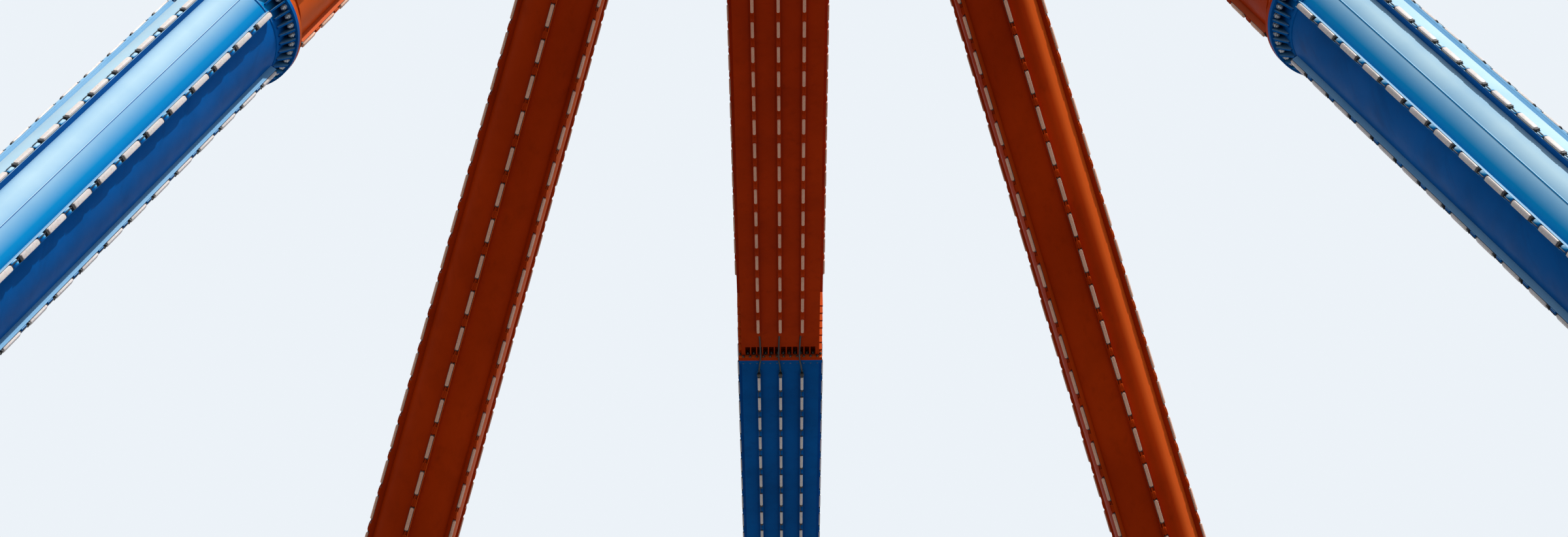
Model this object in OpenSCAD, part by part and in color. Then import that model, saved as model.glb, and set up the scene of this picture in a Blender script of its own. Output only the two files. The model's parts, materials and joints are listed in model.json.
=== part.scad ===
// Giant pendulum ride at half its real size. Four round legs lean together in two pairs and
// carry a swing axle. A tapering box-section arm hangs on the axle between the pairs and
// carries a ring of outward-facing seats. The arm is drawn swung up towards the rear.
// The origin is on the ground under the middle of the axle, +Z is up and +Y is the rear.

/* [Swing] */
// Height of the swing axle above the ground
pivot_h = 16000; // [15500:50:17500]
// Angle of the arm from hanging straight down, towards the rear
arm_angle = 79.4; // [0:0.1:110]
// Distance from the axle to the far end of the arm
arm_len = 13400; // [12500:50:13600]

/* [Legs] */
// Diameter of a leg tube
leg_d = 560; // [500:10:600]
// Distance of a leg's centre line from the swing plane, at the height of the axle
leg_top_x = 950; // [900:5:1050]
// Distance of a leg's centre line in front of or behind the axle, at its height
leg_top_y = 450; // [380:5:520]
// How far a leg spreads sideways for each unit that it drops
leg_spread_x = 0.334; // [0.3:0.002:0.4]
// How far a leg spreads forwards or backwards for each unit that it drops
leg_spread_y = 0.587; // [0.55:0.001:0.68]
// Distance along a leg from axle height to its bolted splice
leg_splice_s = 6430; // [5600:10:7400]
// Distance along a leg from axle height to the flange under the head
head_joint_s = 1350; // [1250:10:1600]
// Length of the fixed stump that stands on a foot plate
foot_stump = 900; // [700:20:1200]

/* [Flanges] */
// How far a bolted ring flange stands out from its tube
flange_rim = 62; // [50:2:80]
// Thickness of one bolted ring flange
flange_t = 26; // [16:1:36]
// Length of the flanged end piece of a leg section
flange_end_len = 150; // [140:5:300]
// Number of bolts, and of gusset plates, around a splice
flange_bolts = 40; // [24:4:48]
// Thickness of one gusset plate
gusset_t = 9; // [6:1:14]
// Height of a gusset plate along the tube
gusset_h = 120; // [80:5:135]
// Diameter of the hole in a lifting lug
lug_hole_d = 34; // [20:2:44]

/* [Light rails] */
// Width of a raised rail that carries light modules
rail_w = 32; // [24:1:40]
// Height of a raised rail above its tube or plate
rail_h = 26; // [16:1:36]
// Number of rails around a leg
leg_rails = 6; // [4:1:8]
// Turn of the rails around a front leg, from the outward horizontal
front_rail_turn = -4.5; // [-30:0.5:30]
// Turn of the rails around a rear leg, from the outward horizontal
rear_rail_turn = -0.5; // [-30:0.5:30]
// Distance of a rail's end from a leg's joint at its head or foot
rail_setback = 70; // [60:5:160]
// Gap between a rail's end and the flanged end piece of its leg
rail_gap = 20; // [5:5:80]

/* [Feet] */
// Width of a foot plate, across the ride
foot_w = 1040; // [960:20:1300]
// Length of a foot plate, along the swing
foot_l = 1240; // [1160:20:1500]
// Thickness of a foot plate
foot_t = 44; // [30:2:70]
// Distance between anchor bolts, across the ride
anchor_gap_x = 880; // [840:10:900]
// Distance between anchor bolts, along the swing
anchor_gap_y = 1080; // [1040:10:1100]
// Diameter of an anchor bolt hole
anchor_hole_d = 40; // [30:1:50]
// Height of the foot's stiffening ribs
foot_rib_h = 420; // [300:10:450]
// Thickness of a stiffening rib
foot_rib_t = 28; // [20:1:40]

/* [Head] */
// Gap between the swing plane and the inner face of a head
head_in = 600; // [590:5:620]
// How far a head's bearing housing stands out past its legs, along the axle
head_proud = 14; // [4:2:60]
// Diameter of a head's bearing housing
head_d = 1380; // [1200:10:1500]
// How far the collars and ribs of a bearing housing stand out
head_rim = 36; // [20:2:60]
// Thickness of a collar of a bearing housing
head_collar_t = 40; // [20:2:60]
// Number of ribs around a bearing housing
head_ribs = 16; // [8:1:24]
// Thickness of the web plate between the two leg stumps of a head
head_web_t = 70; // [50:5:120]
// Diameter of the swing axle
axle_d = 420; // [360:10:480]
// Running clearance around the axle
axle_gap = 1; // [0.5:0.5:3]
// Diameter of a slewing ring
slew_d = 1180; // [1000:10:1190]
// Thickness of a slewing ring
slew_t = 46; // [30:2:50]
// Thickness of a gear case on the outer face of a head
gear_t = 170; // [120:10:240]
// Number of drive motors on each head
drive_count = 4; // [3:1:6]
// Diameter of a drive's gear unit
drive_d = 290; // [220:10:320]
// Length of a drive's gear unit
drive_len = 300; // [200:10:400]
// Diameter of a drive motor
motor_d = 220; // [160:10:220]
// Length of a drive motor
motor_len = 340; // [250:10:450]

/* [Arm] */
// Width of the arm at the axle
arm_w_top = 710; // [660:10:760]
// Width of the arm at its far end
arm_w_end = 530; // [460:10:600]
// Depth of the arm, front to back
arm_depth = 650; // [600:10:720]
// Thickness of the arm's front and back plates
arm_plate_t = 18; // [12:1:30]
// How far the arm's side plates sit in from the edges of its front and back plates
arm_web_inset = 8; // [4:1:16]
// Length of the arm's neck, from the axle to its first joint
arm_neck = 1000; // [900:20:1300]
// Distance from the axle to the arm's bolted splice
arm_splice_s = 6500; // [6000:20:7600]
// Length of the stiffened end of the arm's upper section
arm_stiff_len = 650; // [500:10:800]
// How far the arm's splice plates stand out
arm_lip = 24; // [16:1:40]
// Thickness of one splice plate of the arm
arm_lip_t = 34; // [20:1:50]
// Number of stiffeners on each side of the arm, above its splice
arm_stiffeners = 7; // [4:1:9]
// Number of bolt pockets in the arm's front and back, above its splice
arm_pockets = 12; // [6:1:16]
// Height of a bolt pocket along the arm
pocket_h = 105; // [60:5:140]
// Depth of a bolt pocket
pocket_deep = 55; // [20:5:80]
// Distance of the arm's light rails from its splice, on the upper section
arm_rail_end = 310; // [200:10:400]
// Offset of a side row of lights from the middle of the arm, as a share of the half width
row_share = 0.56; // [0.4:0.01:0.7]
// Diameter of the arm's hub drum
hub_d = 1220; // [1100:10:1300]
// Gap between the hub drum and each slewing ring
hub_gap = 24; // [12:2:40]

/* [Seat ring] */
// Diameter of the drum that carries the seat ring
gondola_hub_d = 1000; // [900:10:1200]
// Height of the drum that carries the seat ring
gondola_hub_h = 520; // [400:10:600]
// Height of the cone under that drum
gondola_cone_h = 240; // [120:10:320]
// Radius of the middle of the ring beam
ring_r = 1500; // [1400:10:1700]
// Width of the ring beam
ring_w = 130; // [90:5:180]
// Height of the ring beam
ring_beam_h = 180; // [160:5:240]
// Width of a spoke
spoke_w = 110; // [80:5:160]
// Height of a spoke
spoke_h = 130; // [90:5:150]
// Number of spokes
spokes = 8; // [6:1:12]
// Number of seats in one row
row_seats = 5; // [4:1:5]
// Width of one seat
seat_w = 236; // [200:2:250]
// Depth of a seat's pan
seat_depth = 250; // [220:5:300]
// Height of a seat's back
seat_back_h = 470; // [400:10:520]
// Thickness of a seat's pan and back
seat_t = 62; // [40:2:90]
// Radius of the upper corners of a seat's back
seat_corner_r = 60; // [20:2:90]

/* [Hidden] */
$fn = 72;

LEFT = -1;
RIGHT = 1;
FRONT = -1;
REAR = 1;
orange = [0.62, 0.13, 0.03];
blue = [0.02, 0.42, 0.68];
steel = [0.55, 0.56, 0.58];
dark = [0.12, 0.12, 0.13];
seat_rows = 8;

// A leg's slope: distance along it for each unit of drop, and its tilt from straight up
leg_stretch = sqrt(1 + pow(leg_spread_x, 2) + pow(leg_spread_y, 2));
leg_tilt = 180 - acos(1 / leg_stretch);
leg_lean_x = atan(leg_spread_x);
foot_x = leg_top_x + leg_spread_x * pivot_h;
foot_y = leg_top_y + leg_spread_y * pivot_h;
leg_end_s = pivot_h * leg_stretch;
foot_joint_s = leg_end_s - foot_stump;
flange_d = leg_d + 2 * flange_rim;
leg_half_x = leg_d / 2 * sqrt(1 + pow(leg_spread_x, 2));
head_out = ceil(leg_top_x + leg_spread_x * head_d / 2 + leg_half_x) + head_proud;
hub_half = head_in - slew_t - hub_gap;
drive_r = slew_d / 2 - drive_d / 2;
seat_pitch = 360 / (seat_rows * row_seats);
ring_z = -arm_len - gondola_hub_h / 2;

function rail_turn(end) = end == FRONT ? front_rail_turn : rear_rail_turn;
function arm_half(s) = (arm_w_top + (arm_w_end - arm_w_top) * s / arm_len) / 2;

// Places children on a leg's centre line, with +Z down the leg and 0 at axle height
module on_leg(side, end) {
    translate([side * leg_top_x, end * leg_top_y, pivot_h])
        rotate([0, leg_tilt, atan2(end * leg_spread_y, side * leg_spread_x)])
            children();
}

// Turns children to the rails' places around a leg, with +X outwards
module each_rail(side, end) {
    for (i = [0 : leg_rails - 1])
        rotate([0, 0, -side * end * (90 + rail_turn(end)) + i * 360 / leg_rails])
            children();
}

// Places children in the arm's frame, with -Z along the arm
module on_arm() {
    translate([0, 0, pivot_h])
        rotate([arm_angle, 0, 0])
            children();
}

// A round tube section from one distance along the leg to another, with rails that stop
// short of its ends
module leg_section(side, end, s0, s1, gap0, gap1) {
    translate([0, 0, s0])
        cylinder(d = leg_d, h = s1 - s0);
    each_rail(side, end)
        translate([0, -rail_w / 2, s0 + gap0])
            cube([leg_d / 2 + rail_h, rail_w, s1 - s0 - gap0 - gap1]);
}

// A flanged tube end: a barrel, its ring flange at z = 0 and gussets between them
module flanged_end() {
    cylinder(d = leg_d, h = flange_end_len);
    cylinder(d = flange_d, h = flange_t);
    for (i = [0 : flange_bolts - 1])
        rotate([90, 0, (i + 0.5) * 360 / flange_bolts])
            linear_extrude(gusset_t, center = true)
                polygon([
                    [leg_d / 2 - flange_t, flange_t / 2],
                    [leg_d / 2 + flange_rim * 0.85, flange_t / 2],
                    [leg_d / 2 + flange_rim * 0.85, flange_t * 1.6],
                    [leg_d / 2 + flange_rim * 0.15, gusset_h],
                    [leg_d / 2 - flange_t, gusset_h]
                ]);
}

// A lifting lug that stands on the rim of a flange, with its eye along the leg's side
module lifting_lug() {
    eye_x = flange_d / 2 + lug_hole_d * 0.6;
    lug_t = flange_t * 0.8;
    difference() {
        union() {
            translate([leg_d / 2 - flange_t, -lug_hole_d, 0])
                cube([eye_x - leg_d / 2 + flange_t, 2 * lug_hole_d, lug_t]);
            translate([eye_x, 0, 0])
                cylinder(r = lug_hole_d, h = lug_t);
        }
        translate([eye_x, 0, -lug_t])
            cylinder(d = lug_hole_d, h = 3 * lug_t);
    }
}

module upper_leg(side, end) {
    color(orange)
        on_leg(side, end) {
            leg_section(side, end, head_joint_s, leg_splice_s - flange_end_len, rail_setback, rail_gap);
            translate([0, 0, head_joint_s])
                cylinder(d = flange_d, h = flange_t);
        }
}

module upper_flange(side, end) {
    color(orange)
        on_leg(side, end)
            translate([0, 0, leg_splice_s])
                mirror([0, 0, 1])
                    flanged_end();
}

module lower_flange(side, end) {
    color(blue)
        on_leg(side, end)
            translate([0, 0, leg_splice_s]) {
                flanged_end();
                rotate([0, 0, side * end > 0 ? -90 : 90])
                    lifting_lug();
            }
}

module lower_leg(side, end) {
    color(blue)
        on_leg(side, end) {
            leg_section(side, end, leg_splice_s + flange_end_len, foot_joint_s, rail_gap, rail_setback);
            translate([0, 0, foot_joint_s - flange_t])
                cylinder(d = flange_d, h = flange_t);
        }
}

// An upright triangular rib that runs out from the middle of a foot
module foot_rib(turn, reach) {
    rotate([90, 0, turn])
        linear_extrude(foot_rib_t, center = true)
            polygon([[0, 0], [reach, 0], [reach, foot_t * 1.6], [0, foot_rib_h]]);
}

module foot(side, end) {
    color(steel)
        difference() {
            union() {
                intersection() {
                    on_leg(side, end)
                        translate([0, 0, foot_joint_s])
                            cylinder(d = leg_d, h = foot_stump + leg_d);
                    translate([side * foot_x - foot_l, end * foot_y - foot_l, foot_t / 2])
                        cube([2 * foot_l, 2 * foot_l, 2 * foot_stump]);
                }
                on_leg(side, end)
                    translate([0, 0, foot_joint_s])
                        cylinder(d = flange_d, h = flange_t);
                translate([side * foot_x, end * foot_y, 0]) {
                    translate([-foot_w / 2, -foot_l / 2, 0])
                        cube([foot_w, foot_l, foot_t]);
                    for (turn = [0, 180])
                        foot_rib(turn, foot_w / 2 - anchor_hole_d);
                    for (turn = [90, 270])
                        foot_rib(turn, foot_l / 2 - anchor_hole_d);
                }
            }
            for (x = [-1, 1])
                for (y = [-1, 1])
                    translate([
                        side * foot_x + x * anchor_gap_x / 2,
                        end * foot_y + y * anchor_gap_y / 2,
                        -foot_t
                    ])
                        cylinder(d = anchor_hole_d, h = 3 * foot_t);
        }
}

// A cylinder along the axle, on one side, from one distance from the swing plane to another
module axle_drum(side, x0, x1, d) {
    translate([side * x0, 0, pivot_h])
        rotate([0, side * 90, 0])
            cylinder(d = d, h = x1 - x0);
}

module head(side) {
    web_y = leg_top_y + leg_spread_y * head_joint_s / leg_stretch;
    web_drop = (head_joint_s - flange_t) / leg_stretch;
    color(orange)
        difference() {
            union() {
                axle_drum(side, head_in, head_out, head_d);
                for (x = [head_in, head_out - head_collar_t])
                    axle_drum(side, x, x + head_collar_t, head_d + 2 * head_rim);
                for (i = [0 : head_ribs - 1])
                    translate([side * (head_in + head_out) / 2, 0, pivot_h])
                        rotate([(i + 0.5) * 360 / head_ribs, 0, 0])
                            translate([0, 0, head_d / 2])
                                cube([head_out - head_in - head_collar_t, gusset_t * 2, 2 * head_rim],
                                    center = true);
                for (end = [FRONT, REAR])
                    on_leg(side, end) {
                        cylinder(d = leg_d, h = head_joint_s);
                        translate([0, 0, head_joint_s - flange_t])
                            cylinder(d = flange_d, h = flange_t);
                    }
                translate([side * leg_top_x, 0, pivot_h])
                    rotate([0, -side * leg_lean_x, 0])
                        rotate([90, 0, 90])
                            linear_extrude(head_web_t, center = true)
                                polygon([
                                    [-head_d / 2, 0],
                                    [head_d / 2, 0],
                                    [web_y - leg_d / 2, -web_drop * 0.86],
                                    [leg_d / 2 - web_y, -web_drop * 0.86]
                                ]);
            }
            axle_drum(side, head_in - slew_t, head_out + slew_t, axle_d + 2 * axle_gap);
        }
}

module slewing_ring(side) {
    color(steel)
        difference() {
            axle_drum(side, head_in - slew_t, head_in, slew_d);
            axle_drum(side, head_in - 2 * slew_t, head_in + slew_t, axle_d + 2 * axle_gap);
        }
}

module gear_case(side) {
    color(orange) {
        axle_drum(side, head_out, head_out + gear_t, slew_d);
        axle_drum(side, head_out, head_out + gear_t / 3, head_d);
    }
}

module drive_motors(side) {
    color(dark)
        for (i = [0 : drive_count - 1])
            translate([side * (head_out + gear_t), 0, pivot_h])
                rotate([(i + 0.5) * 360 / drive_count, 0, 0])
                    translate([0, drive_r, 0])
                        rotate([0, side * 90, 0]) {
                            cylinder(d = drive_d, h = drive_len);
                            cylinder(d = motor_d, h = drive_len + motor_len);
                        }
}

// A length of the arm: front and back plates with side plates set in a little between them
module arm_box(s0, s1) {
    arm_slab(s0, s1, -arm_web_inset, -arm_depth / 2 + arm_plate_t, arm_depth / 2 - arm_plate_t);
    arm_slab(s0, s1, 0, -arm_depth / 2, -arm_depth / 2 + arm_plate_t);
    arm_slab(s0, s1, 0, arm_depth / 2 - arm_plate_t, arm_depth / 2);
}

// A tapering slab of the arm between two depths, wider than the arm by grow on each side
module arm_slab(s0, s1, grow, y0, y1) {
    a = arm_half(s0) + grow;
    b = arm_half(s1) + grow;
    translate([0, y1, 0])
        rotate([90, 0, 0])
            linear_extrude(y1 - y0)
                polygon([[-a, -s0], [a, -s0], [b, -s1], [-b, -s1]]);
}

// Three light rails on each of the arm's four faces
module arm_rails(s0, s1) {
    arm_face_rails(s0, s1);
    for (row = [-1, 0, 1], face = [-1, 1])
        arm_side_rail(s0, s1, row, face);
}

module arm_face_rails(s0, s1) {
    for (row = [-1, 0, 1], face = [-1, 1])
        arm_face_rail(s0, s1, row, face);
}

module arm_face_rail(s0, s1, row, face) {
    a = row * row_share * arm_half(s0);
    b = row * row_share * arm_half(s1);
    w = rail_w / 2;
    translate([0, face * (arm_depth / 2 + rail_h / 2) + (rail_h + arm_plate_t) / 2, 0])
        rotate([90, 0, 0])
            linear_extrude(rail_h + arm_plate_t)
                polygon([[a - w, -s0], [a + w, -s0], [b + w, -s1], [b - w, -s1]]);
}

module arm_side_rail(s0, s1, row, face) {
    a = arm_half(s0) - arm_web_inset;
    b = arm_half(s1) - arm_web_inset;
    y = row * row_share * arm_depth / 2;
    translate([0, y + rail_w / 2, 0])
        rotate([90, 0, 0])
            linear_extrude(rail_w)
                polygon([
                    [face * (a - arm_plate_t), -s0],
                    [face * (a + rail_h), -s0],
                    [face * (b + rail_h), -s1],
                    [face * (b - arm_plate_t), -s1]
                ]);
}

module arm_hub() {
    color(orange)
        on_arm() {
            rotate([0, 90, 0]) {
                cylinder(d = hub_d, h = 2 * hub_half, center = true);
                cylinder(d = axle_d, h = 2 * (head_out - hub_gap), center = true);
            }
            arm_box(0, arm_neck);
            arm_slab(arm_neck - arm_lip_t, arm_neck, arm_lip, -arm_depth / 2 - arm_lip,
                arm_depth / 2 + arm_lip);
        }
}

module arm_upper() {
    s1 = arm_splice_s - arm_stiff_len;
    color(orange)
        on_arm() {
            arm_box(arm_neck, s1);
            arm_slab(arm_neck, arm_neck + arm_lip_t, arm_lip, -arm_depth / 2 - arm_lip,
                arm_depth / 2 + arm_lip);
            arm_rails(arm_neck + rail_setback, s1);
        }
}

// Cross plates that stand out of the arm's sides above its splice
module arm_side_ribs(s0, s1, count) {
    for (i = [0 : count - 1])
        arm_slab(
            s0 + (s1 - s0) * (i + 0.5) / count - gusset_t,
            s0 + (s1 - s0) * (i + 0.5) / count + gusset_t,
            arm_lip,
            -arm_depth / 2 + arm_plate_t,
            arm_depth / 2 - arm_plate_t
        );
}

// Pockets in the arm's front and back that give room to the nuts of its splice
module arm_bolt_pockets() {
    span = 2 * (arm_half(arm_splice_s) - arm_web_inset - arm_plate_t);
    step = span / arm_pockets;
    for (face = [-1, 1], i = [0 : arm_pockets - 1])
        translate([
            (i + 0.5) * step - span / 2,
            face * arm_depth / 2,
            pocket_h / 2 + arm_lip_t - arm_splice_s
        ])
            cube([step - gusset_t, 2 * pocket_deep, pocket_h], center = true);
}

module arm_upper_flange() {
    s0 = arm_splice_s - arm_stiff_len;
    color(orange)
        on_arm()
            difference() {
                union() {
                    arm_box(s0, arm_splice_s);
                    arm_face_rails(s0, arm_splice_s - arm_rail_end);
                    arm_side_ribs(s0, arm_splice_s - arm_lip_t, arm_stiffeners);
                    arm_slab(arm_splice_s - arm_lip_t, arm_splice_s, arm_lip, -arm_depth / 2 - arm_lip,
                        arm_depth / 2 + arm_lip);
                }
                arm_bolt_pockets();
            }
}

module arm_lower_flange() {
    color(blue)
        on_arm() {
            arm_box(arm_splice_s, arm_splice_s + flange_end_len);
            arm_slab(arm_splice_s, arm_splice_s + arm_lip_t, arm_lip, -arm_depth / 2 - arm_lip,
                arm_depth / 2 + arm_lip);
        }
}

module arm_lower() {
    s0 = arm_splice_s + flange_end_len;
    color(blue)
        on_arm() {
            arm_box(s0, arm_len);
            arm_rails(s0, arm_len - rail_setback);
            arm_slab(arm_len - arm_lip_t, arm_len, arm_lip, -arm_depth / 2 - arm_lip,
                arm_depth / 2 + arm_lip);
        }
}

module gondola_hub() {
    color(orange)
        on_arm()
            translate([0, 0, -arm_len - gondola_hub_h]) {
                cylinder(d = gondola_hub_d, h = gondola_hub_h);
                translate([0, 0, -gondola_cone_h])
                    cylinder(d1 = gondola_hub_d / 3, d2 = gondola_hub_d, h = gondola_cone_h);
            }
}

module gondola_frame() {
    color(steel)
        on_arm()
            translate([0, 0, ring_z])
                difference() {
                    union() {
                        rotate_extrude()
                            translate([ring_r - ring_w / 2, -ring_beam_h / 2])
                                square([ring_w, ring_beam_h]);
                        for (i = [0 : spokes - 1])
                            rotate([0, 0, (i + 0.5) * 360 / spokes])
                                translate([gondola_hub_d / 4, -spoke_w / 2, -spoke_h / 2])
                                    cube([ring_r - gondola_hub_d / 4, spoke_w, spoke_h]);
                    }
                    cylinder(d = gondola_hub_d, h = 2 * gondola_hub_h, center = true);
                }
}

// One outward-facing seat, standing on its shelf, with +X the way that it faces
module seat() {
    intersection() {
        rotate([90, 0, 0])
            linear_extrude(seat_w, center = true)
                seat_side();
        rotate([90, 0, 90])
            linear_extrude(seat_depth)
                seat_front();
    }
}

// A seat from its side: a pan with a round front edge, and a back that leans a little
module seat_side() {
    polygon([
        [0, 0],
        [seat_depth - seat_t / 2, 0],
        [seat_depth - seat_t / 2, seat_t],
        [seat_t * 1.5, seat_t],
        [seat_t * 0.9, seat_back_h],
        [0, seat_back_h]
    ]);
    translate([seat_depth - seat_t / 2, seat_t / 2])
        circle(d = seat_t);
}

// A seat from its front, with round upper corners
module seat_front() {
    translate([-seat_w / 2, 0])
        square([seat_w, seat_back_h - seat_corner_r]);
    translate([seat_corner_r - seat_w / 2, 0])
        square([seat_w - 2 * seat_corner_r, seat_back_h]);
    for (x = [-1, 1])
        translate([x * (seat_w / 2 - seat_corner_r), seat_back_h - seat_corner_r])
            circle(r = seat_corner_r);
}

module seat_row(index) {
    span = seat_pitch * row_seats;
    r0 = ring_r + ring_w / 2;
    color(orange)
        on_arm()
            translate([0, 0, ring_z])
                rotate([0, 0, (index - 1) * span]) {
                    for (i = [0 : row_seats - 1])
                        rotate([0, 0, (i + 0.5) * seat_pitch - span / 2])
                            translate([r0 + seat_t, 0, 0])
                                seat();
                    rotate([0, 0, -span / 2 + seat_pitch * 0.05])
                        rotate_extrude(angle = span - seat_pitch * 0.1)
                            translate([r0, -ring_beam_h / 2])
                                square([seat_depth * 0.7, ring_beam_h / 2 + seat_t / 2]);
                }
}

foot(LEFT, FRONT);  // foot_front_left
foot(RIGHT, FRONT);  // foot_front_right
foot(LEFT, REAR);  // foot_rear_left
foot(RIGHT, REAR);  // foot_rear_right
lower_leg(LEFT, FRONT);  // lower_leg_front_left
lower_leg(RIGHT, FRONT);  // lower_leg_front_right
lower_leg(LEFT, REAR);  // lower_leg_rear_left
lower_leg(RIGHT, REAR);  // lower_leg_rear_right
lower_flange(LEFT, FRONT);  // lower_flange_front_left
lower_flange(RIGHT, FRONT);  // lower_flange_front_right
lower_flange(LEFT, REAR);  // lower_flange_rear_left
lower_flange(RIGHT, REAR);  // lower_flange_rear_right
upper_flange(LEFT, FRONT);  // upper_flange_front_left
upper_flange(RIGHT, FRONT);  // upper_flange_front_right
upper_flange(LEFT, REAR);  // upper_flange_rear_left
upper_flange(RIGHT, REAR);  // upper_flange_rear_right
upper_leg(LEFT, FRONT);  // upper_leg_front_left
upper_leg(RIGHT, FRONT);  // upper_leg_front_right
upper_leg(LEFT, REAR);  // upper_leg_rear_left
upper_leg(RIGHT, REAR);  // upper_leg_rear_right
head(LEFT);  // head_left
head(RIGHT);  // head_right
slewing_ring(LEFT);  // slewing_ring_left
slewing_ring(RIGHT);  // slewing_ring_right
gear_case(LEFT);  // gear_case_left
gear_case(RIGHT);  // gear_case_right
drive_motors(LEFT);  // drive_motors_left
drive_motors(RIGHT);  // drive_motors_right
arm_hub();
arm_upper();
arm_upper_flange();
arm_lower_flange();
arm_lower();
gondola_hub();
gondola_frame();
seat_row(1);  // seat_row_1
seat_row(2);  // seat_row_2
seat_row(3);  // seat_row_3
seat_row(4);  // seat_row_4
seat_row(5);  // seat_row_5
seat_row(6);  // seat_row_6
seat_row(7);  // seat_row_7
seat_row(8);  // seat_row_8
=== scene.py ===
"""The looks of a giant pendulum ride at half its real size: four round legs in two pairs,
a tapering box-section arm swung up towards the rear, and a ring of outward-facing seats.
Everything is in metres, +Z up, +Y the rear, with the origin under the middle of the axle."""

import json
import math
from functools import partial

import bpy
import numpy as np
from mathutils import Matrix, Vector


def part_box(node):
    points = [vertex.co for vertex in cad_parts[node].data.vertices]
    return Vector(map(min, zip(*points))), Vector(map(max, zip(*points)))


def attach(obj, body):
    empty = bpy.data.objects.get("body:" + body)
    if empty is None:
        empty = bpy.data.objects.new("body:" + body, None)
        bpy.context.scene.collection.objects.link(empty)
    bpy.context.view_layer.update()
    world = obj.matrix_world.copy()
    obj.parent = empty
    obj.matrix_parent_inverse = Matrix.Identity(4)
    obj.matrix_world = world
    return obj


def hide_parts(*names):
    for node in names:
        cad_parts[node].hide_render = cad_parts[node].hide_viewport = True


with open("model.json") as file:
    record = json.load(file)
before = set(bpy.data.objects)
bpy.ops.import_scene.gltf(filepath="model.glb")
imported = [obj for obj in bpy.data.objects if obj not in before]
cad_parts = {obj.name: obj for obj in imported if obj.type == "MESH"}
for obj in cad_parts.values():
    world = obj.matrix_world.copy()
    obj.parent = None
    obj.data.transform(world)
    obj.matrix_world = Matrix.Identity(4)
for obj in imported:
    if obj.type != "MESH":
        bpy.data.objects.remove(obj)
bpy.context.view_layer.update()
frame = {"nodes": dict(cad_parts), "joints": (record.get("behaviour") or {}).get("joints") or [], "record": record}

# Driving dimensions, where a name that ends in S is a distance from the axle down a leg or the arm
LEFT, RIGHT = -1, 1
FRONT, REAR = -1, 1
LEGS = {
    "front_left": (LEFT, FRONT),
    "front_right": (RIGHT, FRONT),
    "rear_left": (LEFT, REAR),
    "rear_right": (RIGHT, REAR),
}
PIVOT = Vector(frame["joints"][0]["pos_m"])
MOUNTS = {mount["name"]: mount for mount in frame["record"]["mounts"]}

LEG_D = 0.560
LEG_TOP_X = 0.950
LEG_TOP_Y = 0.450
LEG_SPLICE_S = 6.430
HEAD_JOINT_S = 1.350
FOOT_STUMP = 0.900
FLANGE_RIM = 0.062
FLANGE_T = 0.026
FLANGE_END_LEN = 0.150
FLANGE_BOLTS = 40
RAIL_W = 0.032
RAIL_H = 0.026
LEG_RAILS = 6
RAIL_TURN = {FRONT: -4.5, REAR: -0.5}
RAIL_SETBACK = 0.070
RAIL_GAP = 0.020
FOOT_T = 0.044

HEAD_IN = 0.600
HEAD_D = 1.380
SLEW_D = 1.180
SLEW_T = 0.046
GEAR_T = 0.170
DRIVE_COUNT = 4
DRIVE_D = 0.290
DRIVE_LEN = 0.300
MOTOR_D = 0.220
MOTOR_LEN = 0.340

ARM_ANGLE = 79.4
ARM_LEN = 13.400
ARM_W_TOP = 0.710
ARM_W_END = 0.530
ARM_DEPTH = 0.650
ARM_NECK = 1.000
ARM_SPLICE_S = 6.500
ARM_STIFF_LEN = 0.650
ARM_WEB_INSET = 0.008
ARM_LIP = 0.024
ARM_LIP_T = 0.034
ARM_PLATE_T = 0.018
ARM_STIFFENERS = 7
ARM_POCKETS = 12
ARM_RAIL_END = 0.310
ROW_SHARE = 0.56

GONDOLA_HUB_D = 1.000
GONDOLA_HUB_H = 0.520
RING_R = 1.500
RING_W = 0.130
RING_BEAM_H = 0.180
SPOKES = 8
SEAT_ROWS = 8
ROW_SEATS = 5
SEAT_W = 0.236
SEAT_DEPTH = 0.250
SEAT_BACK_H = 0.470
SEAT_T = 0.062

# One light module and the places of the modules along their rows
PITCH = 0.250
MODULE_LEN = 0.160
MODULE_RISE = 0.019
MODULE_SLACK = 0.020
WIDE_LENS = 0.027
SLIM_LENS = 0.0235
TRAY_W = 0.0305
ROW_PHASE = {FRONT: 0.76, REAR: 0.17}
ODD_PHASE = {
    ("front_left", 4): 0.665,
    ("front_right", 2): 0.814,
    ("front_right", 3): 0.811,
    ("front_right", 4): 0.698,
    ("rear_left", 4): 0.24,
    ("rear_right", 2): 0.24,
}
ARM_PHASE_UPPER = 0.284
ARM_PHASE_LOWER = 0.099

# Counts and places of small fittings, and how far the wires reach past the arm's splice
CASE_BOLTS = 24
COVER_BOLTS = 16
SLEW_BOLTS = 36
DRIVE_BOLTS = 10
DRIVE_SIDES = 36
MOTOR_FINS = 28
DRUM_BOLTS = 32
SEAM_STEPS = 40
ARM_SEAM_STEPS = 30
LIP_BOLT_GAP = 0.052
STIFFENER_BOLT_Y = (-0.24, -0.10, 0.10, 0.24)
WIRE_ABOVE = 0.330
WIRE_BELOW = 0.166

MM = 0.001

# Placement helpers


def basis(origin, out, along):
    """A frame at origin with +X pointing out, +Z pointing along and +Y across."""
    out, along = Vector(out).normalized(), Vector(along).normalized()
    across = along.cross(out).normalized()
    placed = Matrix((out, across, along)).transposed().to_4x4()
    placed.translation = origin
    return placed


def turned(axis, degrees):
    return Matrix.Rotation(math.radians(degrees), 4, axis)


def leg_slope(leg):
    """How far a leg spreads sideways and lengthways for each unit that it drops."""
    foot = MOUNTS[f"{leg}_foot"]["pos_m"]
    return (abs(foot[0]) - LEG_TOP_X) / PIVOT.z, (abs(foot[1]) - LEG_TOP_Y) / PIVOT.z


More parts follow.
